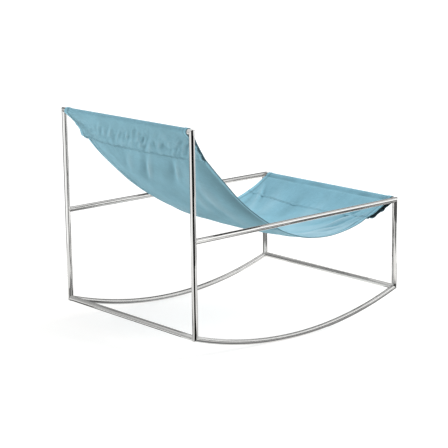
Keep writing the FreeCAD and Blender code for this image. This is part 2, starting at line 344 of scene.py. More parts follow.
def woven_canvas(colour, marks):
    """Plain woven canvas: threads both ways, uneven yarn and cloudy dye, with painted highlights and
    painted shade.
    """
    material, tree, shader = new_material(
        "woven_canvas", sheen_weight=0.03, sheen_roughness=0.5, specular_ior_level=0.1)
    cut = uv_place(tree, "cut")
    threads = []
    for direction in ("X", "Y"):
        wave = add_node(tree, "ShaderNodeTexWave", vector=cut, scale=520.0, distortion=0.6, detail=1.0)
        wave.bands_direction = direction
        threads.append((wave, "Fac"))
    weave = math_value(tree, "MULTIPLY", *threads)
    slub_along = noise_value(tree, cut, 1.0, 2.0, (1500.0, 90.0, 1.0))
    slub_across = noise_value(tree, cut, 1.0, 2.0, (90.0, 1500.0, 1.0))
    slubs = math_value(tree, "ADD", slub_along, slub_across)
    yarn = math_value(tree, "ADD", slubs, noise_value(tree, cut, 26.0, 4.0))
    tone = mixed(tree, ranged(tree, yarn, 1.0, 2.0, 0.0, 1.0), scaled(colour, 0.84), scaled(colour, 1.16))

    # Share of painted light from the mesh: highlights on wrinkle crests and the seat, shade in hollows
    painted_light_attribute = tree.nodes.new("ShaderNodeAttribute")
    painted_light_attribute.attribute_name = "painted_light_share"
    painted_light_share = painted_light_attribute, "Fac"
    split = add_node(tree, "ShaderNodeSeparateXYZ", vector=cut)
    across, along = (split, "X"), (split, "Y")
    # Masks of the painted shade and highlights; patchy noise breaks some of the shade up
    patchy = ranged(tree, noise_value(tree, cut, 16.0, 2.0), 0.38, 0.6, 0.1, 1.0)
    bar_dip_shade = line_mask(tree, along, marks["bar_dip_shade"], 12 * MM)
    seam_shade_lines = line_mask(tree, along, marks["seam_shade_lines"], 2.8 * MM)
    turned_in = ends_mask(tree, across, *marks["hems"])
    sleeves = ends_mask(tree, along, *marks["sleeves"])
    # Colours of the painted highlights and the painted shade
    painted_highlight = (*(0.3 + 0.75 * c for c in colour), 1.0)
    painted_shade = scaled(colour, 0.3)
    # Painted light and shade laid over the canvas's colour, each with its share
    tints = (
        # Painted highlight on wrinkle crests and the seat, painted shade in wrinkle hollows
        (ranged(tree, painted_light_share, 0.5, 1.0, 0.0, 1.0), 0.55, painted_highlight),
        (ranged(tree, painted_light_share, 0.5, 0.0, 0.0, 1.0), 0.5, painted_shade),
        # Painted highlight on the turned hems
        (ends_mask(tree, across, *marks["hem_highlight_bands"]), 0.45, scaled(colour, 1.35)),
        # Painted shade in the dip beside the front bar, broken up by noise
        (math_value(tree, "MULTIPLY", bar_dip_shade, patchy), 0.4, painted_shade),
        # Painted shade along the hems' edges, folds and stitch rows
        (line_mask(tree, across, marks["hem_shade_lines"], 2.6 * MM), 0.5, painted_shade),
        # Painted shade along the seams, where the cloth leaves each bar and beside the front bar, broken
        # up by noise
        (math_value(tree, "MULTIPLY", seam_shade_lines, patchy), 0.45, painted_shade),
        # Painted shade along the fold of the right hem
        (line_mask(tree, across, marks["right_edge_shade"], 4.4 * MM), 0.75, painted_shade),
        # Painted shade, near black, on the turned hems inside the sleeves, where their mouths open
        (math_value(tree, "MULTIPLY", turned_in, sleeves), 0.95, scaled(colour, 0.05)),
    )
    for mask, share, tint in tints:
        tone = mixed(tree, math_value(tree, "MULTIPLY", mask, share), tone, tint)
    set_inputs(shader, base_color=tone,
               roughness=ranged(tree, weave, 0.0, 1.0, 0.95, 0.8),
               normal=bumped(tree, math_value(tree, "ADD", weave, slubs), 0.25 * MM, 0.3))
    return material


def sewing_thread(colour):
    """Twisted polyester thread."""
    material, tree, shader = new_material("sewing_thread", sheen_weight=0.1, roughness=0.6)
    twist = noise_value(tree, object_place(tree), 1400.0, 2.0)
    set_inputs(shader,
               base_color=mixed(tree, twist, scaled(colour, 0.75), scaled(colour, 1.25)),
               normal=bumped(tree, twist, 0.1 * MM, 0.5))
    return material


# Tube frame


def mitre_cut(partner):
    """End of a tube on the plane that halves its angle to a partner, given the way the partner leaves."""
    def shift(ring, outward):
        plane = outward + partner
        return -ring.dot(plane) / outward.dot(plane)
    return shift


def cope_cut(*tubes):
    """End of a bar fitted round a tube or the tubes of a corner, given the ways in which they leave."""
    def shift(ring, outward):
        nearest = max(tubes, key=ring.dot)
        return -abs(ring.dot(nearest))
    return shift


class Tube:
    """Round tube along a line of points, with both ends cut to fit their neighbours."""

    EDGE = 0.5 * MM

    def __init__(self, line, radius, sides, beside, start_cut, end_cut):
        self.rings = []
        self.lengths = [0.0]
        lead = line[0] + self.EDGE * (line[1] - line[0]).normalized()
        tail = line[-1] + self.EDGE * (line[-2] - line[-1]).normalized()
        line = [line[0], lead, *line[1:-1], tail, line[-1]]
        last = len(line) - 1
        for i, point in enumerate(line):
            ahead = (line[min(i + 1, last)] - line[max(i - 1, 0)]).normalized()
            over = ahead.cross(beside)
            ring = []
            for k in range(sides):
                turn = 2 * math.pi * k / sides
                spoke = radius * (math.cos(turn) * beside + math.sin(turn) * over)
                shift = 0.0
                if i < 2:
                    shift = -start_cut(spoke, -ahead)
                elif i > last - 2:
                    shift = end_cut(spoke, ahead)
                ring.append(point + spoke + shift * ahead)
            self.rings.append(ring)
            if i:
                self.lengths.append(self.lengths[-1] + (point - line[i - 1]).length)
        self.ends = (line[0], line[-1])
        self.girth = 2 * math.pi * radius

    def mesh(self, name):
        """Closed mesh, with a UV map that runs round and along the tube in metres."""
        sides = len(self.rings[0])
        verts = [v for ring in self.rings for v in ring] + list(self.ends)
        faces, uvs = [], []
        for i in range(len(self.rings) - 1):
            for k in range(sides):
                n = (k + 1) % sides
                faces.append((i * sides + k, i * sides + n, (i + 1) * sides + n, (i + 1) * sides + k))
                u0, u1 = (self.girth * t / sides for t in (k, k + 1))
                v0, v1 = self.lengths[i], self.lengths[i + 1]
                uvs += [(u0, v0), (u1, v0), (u1, v1), (u0, v1)]
        wall = len(faces)
        top = (len(self.rings) - 1) * sides
        for k in range(sides):
            n = (k + 1) % sides
            faces.append((len(verts) - 2, n, k))
            faces.append((len(verts) - 1, top + k, top + n))
            uvs += [(0.0, 0.0)] * 6
        mesh = grid_mesh(name, verts, faces, uvs, "tube")
        for cap in mesh.polygons[wall:]:
            cap.use_smooth = False
        return mesh


def grid_mesh(name, verts, faces, uvs, uv_name):
    """Smooth mesh with one UV map."""
    mesh = bpy.data.meshes.new(name)
    mesh.from_pydata(verts, [], faces)
    layer = mesh.uv_layers.new(name=uv_name)
    for loop, uv in zip(layer.data, uvs):
        loop.uv = uv
    mesh.shade_smooth()
    mesh.update()
    return mesh


def new_piece(name, mesh, material=None):
    """Object in the scene that rides on the chair's root body."""
    piece = bpy.data.objects.new(name, mesh)
    bpy.context.collection.objects.link(piece)
    if material:
        mesh.materials.append(material)
    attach(piece, "root")
    return piece


def straight(start, end, steps):
    """Points along a straight line, with one more close to each end for the cut there."""
    close = 1.1 * TUBE_RADIUS * (end - start).normalized()
    inner = [start.lerp(end, i / steps) for i in range(1, steps)]
    return [start, start + close, *inner, end - close, end]


def rocker_line(drop, stub, steps):
    """Centre line of a rocker from its rear end to its front end, and its slope at the ends."""
    half = DEPTH / 2
    slope = 2 * math.atan(drop / (half + stub))
    radius = (half - stub * math.cos(slope)) / math.sin(slope)
    middle = (REAR_FOOT + FRONT_FOOT) / 2
    centre = middle + UPWARD * (radius - drop)
    arc = []
    for i in range(steps + 1):
        turn = slope * (1 - 2 * i / steps)
        arc.append(centre + radius * (math.sin(turn) * BACKWARD - math.cos(turn) * UPWARD))
    return [REAR_FOOT] + arc + [FRONT_FOOT], slope


def frame_tubes(settings):
    """The twelve tubes by name."""
    line, slope = rocker_line(settings.rocker_drop, settings.rocker_stub, steps=96)
    rear_runner = -BACKWARD * math.cos(slope) - UPWARD * math.sin(slope)
    front_runner = BACKWARD * math.cos(slope) - UPWARD * math.sin(slope)
    arm_end = FRONT_TOP + BACKWARD * DEPTH

    def make(points, beside, start_cut, end_cut):
        return Tube(points, settings.tube_radius, settings.tube_sides, beside, start_cut, end_cut)

    tubes = {}
    for side, name in ((1, "left"), (-1, "right")):
        at = side * HALF_WIDTH * ACROSS
        inward = -side * ACROSS
        tubes[f"rear_upright_{name}"] = make(
            straight(REAR_FOOT + at, REAR_TOP + at, steps=24), ACROSS,
            mitre_cut(rear_runner), mitre_cut(inward))
        tubes[f"front_post_{name}"] = make(
            straight(FRONT_FOOT + at, FRONT_TOP + at, steps=12), ACROSS,
            mitre_cut(front_runner), mitre_cut(BACKWARD))
        tubes[f"rocker_{name}"] = make(
            [point + at for point in line], ACROSS, mitre_cut(UPWARD), mitre_cut(UPWARD))
        tubes[f"arm_rail_{name}"] = make(
            straight(FRONT_TOP + at, arm_end + at, steps=36), ACROSS,
            mitre_cut(-UPWARD), cope_cut(UPWARD))
    left, right = HALF_WIDTH * ACROSS, -HALF_WIDTH * ACROSS

    def bar(point, cut):
        return make(straight(point + left, point + right, steps=24), BACKWARD, cut, cut)

    tubes["rear_bottom_bar"] = bar(REAR_FOOT, cope_cut(UPWARD, rear_runner))
    tubes["front_bottom_bar"] = bar(FRONT_FOOT, cope_cut(UPWARD, front_runner))
    tubes["rear_sling_bar"] = bar(REAR_TOP, mitre_cut(-UPWARD))
    tubes["front_sling_bar"] = bar(FRONT_TOP, cope_cut(-UPWARD, BACKWARD))
    return tubes


def line_object(name, lines, closed, ups=()):
    """Object of bare edges for a Geometry Nodes tree; ups gives each point's outward direction."""
    verts, edges = [], []
    for points in lines:
        first = len(verts)
        verts += points
        edges += [(first + i, first + i + 1) for i in range(len(points) - 1)]
        if closed:
            edges.append((len(verts) - 1, first))
    mesh = bpy.data.meshes.new(name)
    mesh.from_pydata(verts, edges, [])
    if ups:
        outward = mesh.attributes.new("outward", "FLOAT_VECTOR", "POINT")
        for item, direction in zip(outward.data, ups):
            item.vector = direction
    guide = bpy.data.objects.new(name, mesh)
    bpy.context.collection.objects.link(guide)
    return guide


def grown_mesh(name, guide, tree, values):
    """Plain mesh of what a Geometry Nodes tree makes of a guide, which is then removed."""
    modifier = guide.modifiers.new(name, "NODES")
    modifier.node_group = tree
    identifiers = {item.name: item.identifier for item in tree.interface.items_tree}
    for label, value in values.items():
        modifier[identifiers[label]] = value
    depsgraph = bpy.context.evaluated_depsgraph_get()
    mesh = bpy.data.meshes.new_from_object(guide.evaluated_get(depsgraph))
    mesh.name = name
    guide.modifiers.remove(modifier)
    bpy.data.objects.remove(guide)
    if not mesh.polygons:
        raise RuntimeError(f"{name}: the tree made no faces")
    return mesh


def new_tree(name, inputs):
    """Geometry Nodes tree with a geometry in and out and named inputs."""
    tree = bpy.data.node_groups.new(name, "GeometryNodeTree")
    tree.interface.new_socket("Geometry", in_out="INPUT", socket_type="NodeSocketGeometry")
    tree.interface.new_socket("Geometry", in_out="OUTPUT", socket_type="NodeSocketGeometry")
    for label, kind in inputs:
        tree.interface.new_socket(label, in_out="INPUT", socket_type=kind)
    return tree, tree.nodes.new("NodeGroupInput"), tree.nodes.new("NodeGroupOutput")


def finish_tree(tree, geometry, material, result):
    """Ends a tree in smooth shading, Realize Instances and Set Material."""
    smooth = add_node(tree, "GeometryNodeSetShadeSmooth", geometry=geometry)
    realize = add_node(tree, "GeometryNodeRealizeInstances", geometry=(smooth, "Geometry"))
    paint = add_node(
        tree, "GeometryNodeSetMaterial", geometry=(realize, "Geometry"), material=material)
    set_inputs(result, geometry=(paint, "Geometry"))


def weld_tree(material):
    """Round bead along each line of the guide."""
    tree, given, result = new_tree("weld_bead", [
        ("Bead Radius", "NodeSocketFloat"), ("Bead Sides", "NodeSocketInt")])
    curve = add_node(tree, "GeometryNodeMeshToCurve", mesh=(given, "Geometry"))
    profile = add_node(tree, "GeometryNodeCurvePrimitiveCircle", radius=(given, "Bead Radius"),
                       resolution=(given, "Bead Sides"))
    sweep = add_node(tree, "GeometryNodeCurveToMesh", curve=(curve, "Curve"),
                     profile_curve=(profile, "Curve"))
    finish_tree(tree, (sweep, "Mesh"), material, result)
    return tree


def stitch_tree(material):
    """One stitch after another along each line of the guide, lying on the cloth."""
    tree, given, result = new_tree("stitch_rows", [
        ("Pitch", "NodeSocketFloat"), ("Stitch Length", "NodeSocketFloat"),
        ("Thread Radius", "NodeSocketFloat")])
    curve = add_node(tree, "GeometryNodeMeshToCurve", mesh=(given, "Geometry"))
    spaced = tree.nodes.new("GeometryNodeResampleCurve")
    spaced.mode = "LENGTH"
    set_inputs(spaced, curve=(curve, "Curve"), length=(given, "Pitch"))
    outward = tree.nodes.new("GeometryNodeInputNamedAttribute")
    outward.data_type = "FLOAT_VECTOR"
    set_inputs(outward, name="outward")
    along = tree.nodes.new("GeometryNodeInputTangent")
    turn = add_node(tree, "FunctionNodeAxesToRotation", primary_axis=(outward, "Attribute"),
                    secondary_axis=(along, "Tangent"))
    turn.primary_axis, turn.secondary_axis = "Z", "X"
    thread = given, "Thread Radius"
    half = math_value(tree, "MULTIPLY", (given, "Stitch Length"), 0.5)
    size = add_node(tree, "ShaderNodeCombineXYZ", x=half, y=thread, z=thread)
    bead = add_node(tree, "GeometryNodeMeshUVSphere", segments=6, rings=5, radius=1.0)
    shape = add_node(
        tree, "GeometryNodeTransform", geometry=(bead, "Mesh"), scale=(size, "Vector"))
    place = add_node(tree, "GeometryNodeInstanceOnPoints", points=(spaced, "Curve"),
                     instance=(shape, "Geometry"), rotation=(turn, "Rotation"))
    finish_tree(tree, (place, "Instances"), material, result)
    return tree


# Canvas sling


class HangLine:
    """Line in which cloth hangs between two points, in the frame's side plane."""

    def __init__(self, rear, front, length):
        self.length = length
        self.rear = rear
        drop = rear - front
        span, fall = drop.dot(BACKWARD), drop.dot(UPWARD)
        ratio = math.sqrt(length ** 2 - fall ** 2) / span
        low, high = 1e-6, 20.0
        for _ in range(80):
            mid = (low + high) / 2
            if math.sinh(mid) / mid < ratio:
                low = mid
            else:
                high = mid
        self.a = span / (2 * low)
        self.lowest = span / 2 + self.a * math.atanh(fall / length)
        self.rear_arc = self.a * math.sinh(self.lowest / self.a)

    def point(self, run):
        """Point at a distance from the rear end."""
        arc = self.rear_arc - run
        back = self.a * math.asinh(arc / self.a) - self.lowest
        up = math.hypot(self.a, arc) - math.hypot(self.a, self.rear_arc)
        return self.rear + BACKWARD * back + UPWARD * up

    def upward(self, run):
        """Direction square to the line, on the sitter's side."""
        arc = self.rear_arc - run
        return (UPWARD * self.a - BACKWARD * arc).normalized()


# Soft folds of the hanging layer, in millimetres and degrees: place across and along the cloth,
# direction from the cloth's length, length, width and height towards the sitter.
FOLDS = (
    (20, 205, 40, 70, 11, -6.5), (46, 205, 40, 75, 12, 6.0), (-128, 196, 34, 50, 9, -5.5),
    (-104, 196, 34, 60, 12, 4.5), (-60, 235, 38, 80, 22, 3.5), (115, 190, 40, 60, 14, -3.5),
    (150, 210, 40, 70, 14, 3.0), (-215, 180, 24, 60, 14, 3.5), (-213, 908, -30, 45, 9, 8.0),
    (-196, 925, -28, 45, 9, -7.0), (-240, 912, -32, 55, 9, -6.0), (-262, 935, -30, 55, 8, 6.0),
    (-214, 822, -38, 50, 10, 7.5), (-196, 842, -36, 50, 10, -6.5), (-240, 822, -38, 45, 9, -5.5),
    (-225, 968, -36, 30, 7, -6.0), (-160, 925, -42, 50, 12, 5.0), (-135, 880, -40, 60, 14, -4.0),
    (-280, 870, -22, 80, 8, 5.0), (-200, 765, -42, 60, 14, 5.0), (-150, 790, -44, 70, 16, -4.0),
    (235, 945, 30, 50, 9, -5.0), (255, 955, 28, 50, 8, 5.0), (262, 900, 18, 70, 10, -4.0),
    (200, 860, 24, 80, 14, 4.0), (150, 905, 20, 90, 22, 3.0), (60, 900, 6, 90, 24, -3.0),
    (-40, 900, -10, 90, 24, 3.0), (-284, 360, 0, 230, 30, 9.0), (-196, 350, 2, 140, 26, -6.0),
    (-130, 330, 14, 120, 20, -4.0), (282, 330, 0, 180, 9, -5.0), (262, 330, 0, 180, 9, 1.5),
    (0, 620, 85, 160, 40, 2.5), (90, 480, 70, 140, 36, -2.5), (-120, 430, 60, 140, 34, 2.5),
)


# A fold counts up to this many of its own lengths and widths from its middle.
FOLD_REACH = 2.6


def fold_height(x, run):
    """Sum of the folds at a place on the cloth, in metres."""
    total = 0.0
    for at, along, degrees, length, width, height in FOLDS:
        dx, dy = x / MM - at, run / MM - along
        turn = math.radians(degrees)
        lengthwise = (dx * math.sin(turn) + dy * math.cos(turn)) / length
        sideways = (dx * math.cos(turn) - dy * math.sin(turn)) / width
        if abs(lengthwise) < FOLD_REACH and abs(sideways) < FOLD_REACH:
            total += height * math.exp(-lengthwise ** 2 - sideways ** 2)
    return total * MM


# Unevenness of the cloth: how finely it varies across and along, per metre, and a place in the noise
PUCKER_WANDER = (31, 11, 4.2)
COARSE_CRUMPLE = (62, 24, 2.1)
FINE_CRUMPLE = (105, 48, 5.6)
BROAD_WAVES = (8, 5, 0.3)
FINE_WAVES = (24, 13, 7.7)
BAR_WAVES = (22, 1, 9.1)


def uneven(grain, x, run):
    """Smooth noise between about -1 and 1 at a place on the cloth."""
    across, along, place = grain
    return noise.noise(Vector((x * across, run * along, place)))


class Row:
    """One line across the cloth: where it lies before it sags and creases."""

    def __init__(self, point, upward, run, layer, gap):
        self.point = point
        self.upward = upward
        self.run = run
        self.layer = layer
        self.gap = gap
        self.normal = upward
        self.cut = 0.0


class Sling:
    """The canvas from the end of its rear flap, over both bars, to the end of its front flap."""

    LAYER_SPACE = 1.2
    HEM_STITCH = 0.78
    SEAM_STITCHES = (0.25, 0.8)
    # Rows of the mesh along the hanging layer and the stretches of a sleeve
    HANG_ROWS = 210
    TAIL_ROWS = 4
    MOUTH_ROWS = 8
    FLAP_ROWS = 24
    LOOP_ROWS = 18
    # Columns of the mesh across a hem, the strip beside it and the rest, and points across a seam
    HEM_COLUMNS = 6
    EDGE_COLUMNS = 8
    MIDDLE_COLUMNS = 100
    SEAM_POINTS = 150
    # Sideways shift at the rear and the front bar, and what the rear bar holds back of it
    ASKEW_REAR = 9.0 * MM
    ASKEW_FRONT = -6.5 * MM
    HELD_BACK = 7.0 * MM
    # The right edge's flare at the rear bar and its pull inwards below it
    FLARE = 8.0 * MM
    DRAWN_IN = 7.0 * MM
    # Heights of the puckers beside a seam, a flap's crumple and the cloth's waves
    PUCKER = 1.0 * MM
    CRUMPLE = 4.0 * MM
    BROAD_WAVE = 3.5 * MM
    FINE_WAVE = 1.6 * MM
    # Length of a pucker for one radian of its wave, and the crumple's slant across the flap
    PUCKER_RADIAN = 5.2 * MM
    CRUMPLE_SLANT = 0.9
    # Distance from a bar within which the bar keeps the cloth smooth
    SMOOTH_RUN = 35 * MM
    # Height from a wrinkle's hollow, where its painted shade is darkest, to its crest, where its painted
    # highlight is brightest
    PAINTED_LIGHT_SPAN = 20 * MM

    def __init__(self, settings):
        self.s = settings
        self.half = settings.width / 2
        self.layer = settings.thickness * self.LAYER_SPACE
        self.loop = TUBE_RADIUS + 0.7 * settings.thickness
        self.hang = self.hung()
        self.rows = self.profile()

    def hung(self):
        """Hanging line that leaves both bars at a tangent, found in a few rounds."""
        length = (REAR_TOP - FRONT_TOP).length + self.s.slack
        rear, front = REAR_TOP, FRONT_TOP
        for _ in range(30):
            line = HangLine(rear, front, length)
            rear = REAR_TOP + self.loop * line.upward(0.0)
            front = FRONT_TOP + self.loop * line.upward(length)
        return HangLine(rear, front, length)

    def sleeve_rows(self, at_front):
        """Rows of a sleeve's outer layer and its loop, from the sewn tail to the top of the bar."""
        s = self.s
        depth, gap = (s.front_depth, s.front_gap) if at_front else (s.rear_depth, s.rear_gap)
        bar, bar_run, way = (FRONT_TOP, self.hang.length, -1) if at_front else (REAR_TOP, 0.0, 1)
        upward = self.hang.upward(bar_run)
        along = way * ACROSS.cross(upward)

        def under(from_bar, space):
            run = bar_run + way * from_bar
            square = self.hang.upward(run)
            return Row(self.hang.point(run) - space * square, square, run, "flap", space)

        def round_bar(turn):
            return bar + self.loop * (math.cos(turn) * along - math.sin(turn) * upward)

        rows = [under(depth + s.seam_tail * (1 - i / self.TAIL_ROWS), self.layer)
                for i in range(self.TAIL_ROWS + 1)]
        for i in range(1, self.MOUTH_ROWS + 1):
            turn = math.pi / 2 * i / self.MOUTH_ROWS
            rows.append(under(depth - gap * (1 - math.cos(turn)),
                              self.layer + (gap - self.layer) * math.sin(turn)))
        mouth = rows[-1].point
        reach = mouth - bar
        leave = math.atan2(-reach.dot(upward), reach.dot(along)) + math.acos(self.loop / reach.length)
        for i in range(1, self.FLAP_ROWS):
            share = i / self.FLAP_ROWS
            row = under((depth - gap) * (1 - share), gap + (2 * self.loop - gap) * share)
            row.point = mouth.lerp(round_bar(leave), share)
            rows.append(row)
        for i in range(self.LOOP_ROWS):
            turn = leave + (1.5 * math.pi - leave) * i / self.LOOP_ROWS
            rows.append(Row(round_bar(turn), upward, bar_run, "loop", 0.0))
        return rows

    def profile(self):
        """All rows in order, each with its outward normal and its place along the cut."""
        length = self.hang.length
        hanging = [Row(self.hang.point(run), self.hang.upward(run), run, "hang", 0.0)
                   for run in (length * i / self.HANG_ROWS for i in range(self.HANG_ROWS + 1))]
        rows = self.sleeve_rows(False) + hanging + self.sleeve_rows(True)[::-1]
        for i, row in enumerate(rows):
            ahead = rows[min(i + 1, len(rows) - 1)].point - rows[max(i - 1, 0)].point
            row.normal = ahead.normalized().cross(ACROSS)
            if i:
                row.cut = rows[i - 1].cut + (row.point - rows[i - 1].point).length
        return rows

    def from_bar(self, run):
        """Distance to the nearer bar along the hanging line."""
        return min(run, self.hang.length - run)

    def on_front(self, run):
        """True on the half of the cloth that is nearer to the front bar."""
        return run > self.hang.length / 2

    def within(self, x):
        """The place across the cloth, kept between its finished edges."""
        return math.copysign(min(abs(x), self.half), x)

    def down_the_back(self, run):
        """1 over the stretch of the back where the left edge hangs higher, 0 beyond it."""
        return ramp(run, 130 * MM, 390 * MM) * (1 - ramp(run, 440 * MM, 640 * MM))

    def edge_shift(self, x, run):
        """The cloth lies a little askew; its right edge flares at the rear bar and draws in below it."""
        askew = self.ASKEW_REAR + (self.ASKEW_FRONT - self.ASKEW_REAR) * run / self.hang.length
        held = self.HELD_BACK * (1 - ramp(run, 0.0, 150 * MM))
        flare = self.FLARE * (1 - ramp(run, 0.0, 60 * MM))
        drawn_in = self.DRAWN_IN * bell(run, 135 * MM, 75 * MM)
        return askew - held + (drawn_in - flare) * ramp(-x / self.half, 0.35, 0.95)

    def seam_skew(self, x, row):
        """The sleeves are sewn a little askew: their seams bend towards the bar at the left side."""
        if row.layer == "loop":
            return Vector((0.0, 0.0, 0.0))
        side = x / self.half
        near_seam = bell(self.from_bar(row.run), 120 * MM, 55 * MM)
        if self.on_front(row.run):
            slide = (3 + 9 * ramp(side, 0.2, 1.0)) * MM
        else:
            slide = -(3 * side + 6 * ramp(side, 0.75, 1.0)) * MM
        return slide * near_seam * ACROSS.cross(row.upward)

    def sag(self, x, run):
        """How far the cloth hangs below its hems."""
        build = 1 - (1 - clamp(self.from_bar(run) / self.s.sag_run)) ** 2
        hung = self.s.sag * build * (1 - min(1.0, abs(x) / self.half) ** 3)
        return hung - self.s.left_lift * self.down_the_back(run) * ramp(x, 0.0, self.half)

    def wrinkles(self, x, row):
        """Folds and puckers of a layer, towards the sitter."""
        s = self.s
        run = row.run
        if row.layer == "loop":
            return 0.0
        reach = self.from_bar(run)
        side = x / self.half
        seam = s.front_depth if self.on_front(run) else s.rear_depth
        beside_seam = bell(reach, seam + s.seam_tail / 2, 16 * MM)
        wander = 5.0 * uneven(PUCKER_WANDER, x, run)
        puckers = self.PUCKER * math.sin(x / self.PUCKER_RADIAN + wander) * beside_seam
        if row.layer == "hang":
            return puckers + fold_height(x, run)
        pocket = ramp(row.gap - 2 * self.layer, 0.0, 4 * MM) * ramp(reach, 0.0, self.SMOOTH_RUN)
        slanted = x - self.CRUMPLE_SLANT * run
        crumple = uneven(COARSE_CRUMPLE, slanted, run) + 0.7 * uneven(FINE_CRUMPLE, slanted, run)
        crumple *= 0.35 + 0.65 * bell(reach / seam, 0.62, 0.3)
        crumple *= 1 + 0.4 * ramp(-side, -0.3, 0.3) - 0.7 * ramp(side, 0.75, 0.95)
        return puckers + self.CRUMPLE * crumple * pocket

    def crease(self, x, row):
        """Wrinkles and broader unevenness of a layer, towards the sitter."""
        run = row.run
        if row.layer == "loop":
            return 0.0
        reach = self.from_bar(run)
        side = x / self.half
        loose = ramp(reach, 0.0, self.SMOOTH_RUN)
        rise = self.wrinkles(x, row) + self.BROAD_WAVE * uneven(BROAD_WAVES, x, run) * loose
        if row.layer == "hang":
            fine = self.FINE_WAVE * uneven(FINE_WAVES, x, run) * loose
            dip = (1.8 + 1.4 * uneven(BAR_WAVES, x, run)) * MM * bell(reach, 15 * MM, 5 * MM)
            return rise + fine - dip
        if self.on_front(run):
            return rise
        middle = math.sin(math.pi * clamp(reach / self.s.rear_depth))
        right_pull = 4 * MM * ramp(-side, 0.7, 0.95)
        left_pull = 0.25 * row.gap * ramp(side, 0.55, 0.85)
        loose_corner = 5 * MM * ramp(side, 0.82, 0.98) * ramp(reach, 90 * MM, 115 * MM)
        return rise + (right_pull + left_pull) * middle - loose_corner

    def over_hem(self, x):
        """1 over the turned hem, 0 on the single layer."""
        hem_edge = self.half - self.s.hem_width
        return ramp(abs(x), hem_edge - 3 * MM, hem_edge + 2 * MM)

    def spot(self, row, x, lift=0.0):
        """Point of the cloth on a row, lifted off it along the row's outward normal."""
        inner = self.within(x)
        hemmed = self.over_hem(inner)
        by_bar = 1 - ramp(self.from_bar(row.run), 0.0, 40 * MM)
        if row.layer == "flap":
            piled = 2.2 * clamp((9 * MM - row.gap) / (4 * MM))
            lift += self.layer * hemmed * max(piled, by_bar)
        elif row.layer == "hang":
            lift += self.layer * hemmed * max(0.5, by_bar)
        else:
            lift += self.layer * hemmed
        rise = self.crease(inner, row) - self.sag(inner, row.run)
        across = (x + self.edge_shift(inner, row.run)) * ACROSS
        return (row.point + across + self.seam_skew(inner, row)
                + rise * row.upward + lift * row.normal)

    def columns(self):
        """Places across the cut, from the left: (x, height over the face, distance along the cut)."""
        half, hem, turn = self.half, self.s.hem_width, self.layer / 2
        puffed = 0.6 * self.layer
        shares = [i / self.HEM_COLUMNS for i in range(self.HEM_COLUMNS + 1)]
        edge = [(half - hem + (hem - turn) * share, -2 * turn - puffed * math.sin(math.pi * share) ** 2)
                for share in shares]
        edge += [(half - turn + turn * math.sin(math.pi * share), -turn - turn * math.cos(math.pi * share))
                 for share in shares[1:-1]]
        edge += [(half - turn - (hem + 8 * MM) * i / self.EDGE_COLUMNS, 0.0)
                 for i in range(self.EDGE_COLUMNS + 1)]
        inner = edge[-1][0]
        middle = [(inner * (1 - 2 * i / self.MIDDLE_COLUMNS), 0.0)
                  for i in range(1, self.MIDDLE_COLUMNS)]
        places = edge + middle + [(-x, height) for x, height in edge[::-1]]
        columns, cut = [], 0.0
        for i, (x, height) in enumerate(places):
            if i:
                cut += math.dist((x, height), places[i - 1])
            columns.append((x, height, cut))
        return columns

    def mesh(self, name):
        """Single layer mesh of the whole canvas, with the cut as its UV map."""
        columns = self.columns()
        verts = [self.spot(row, x, height) for row in self.rows for x, height, _ in columns]
        us = [cut / CUT_SPAN for _, _, cut in columns]
        vs = [row.cut / CUT_SPAN for row in self.rows]
        wide = len(columns)
        faces, uvs = [], []
        for j in range(len(vs) - 1):
            for i in range(wide - 1):
                low, high = j * wide + i, (j + 1) * wide + i
                faces.append((low, low + 1, high + 1, high))
                uvs += [(us[i], vs[j]), (us[i + 1], vs[j]), (us[i + 1], vs[j + 1]), (us[i], vs[j + 1])]
        mesh = grid_mesh(name, verts, faces, uvs, "cut")
        # Painted light and shade for the canvas's colour: highlights on crests and the seat, shade in
        # hollows
        painted_light_share = mesh.attributes.new("painted_light_share", "FLOAT", "POINT")
        painted_light_share.data.foreach_set(
            "value", [self.painted_light_at(row, x) for row in self.rows for x, _, _ in columns])
        return mesh

    def painted_light_at(self, row, x):
        """Painted light on the cloth: 1 for a painted highlight on crests and on the seat, 0 for painted
        shade in hollows, 0.5 between.

        The seat half counts wrinkles towards the sitter as crests, the back half those away from them.
        """
        inner = self.within(x)
        crest = self.wrinkles(inner, row) / self.PAINTED_LIGHT_SPAN
        share = row.run / self.hang.length
        seat = 0.35 * bell(share, 0.74, 0.1) * ramp(-inner / self.half, -0.3, 0.6)
        return clamp(0.5 + seat + (crest if self.on_front(row.run) else -crest))

    def flat_size(self):
        """Width and length that the canvas is cut to."""
        return self.columns()[-1][2], self.rows[-1].cut

    def row_at(self, run, layer):
        """The row of a layer that is nearest to a place along the hanging line."""
        return min((r for r in self.rows if r.layer == layer), key=lambda r: abs(r.run - run))

    def seam_rows(self):
        """Rows on which the sleeves' seams are stitched, on the hanging layer and the flap."""
        s = self.s
        rows = []
        for share in self.SEAM_STITCHES:
            tail = share * s.seam_tail
            for run in (s.rear_depth + tail, self.hang.length - s.front_depth - tail):
                rows += [self.row_at(run, layer) for layer in ("hang", "flap")]
        return rows

    def marks(self):
        """Places of the hems, sleeves, folded edges and stitch rows in the UV map, by name, for the
        canvas's painted shade and highlights.
        """
        wide = self.flat_size()[0]
        fold = self.s.hem_width
        stitch = self.HEM_STITCH * fold
        edges = (0.0, fold, fold + stitch, fold - stitch, 2 * fold)

        def hang_cut(from_front):
            return self.row_at(self.hang.length - from_front, "hang").cut

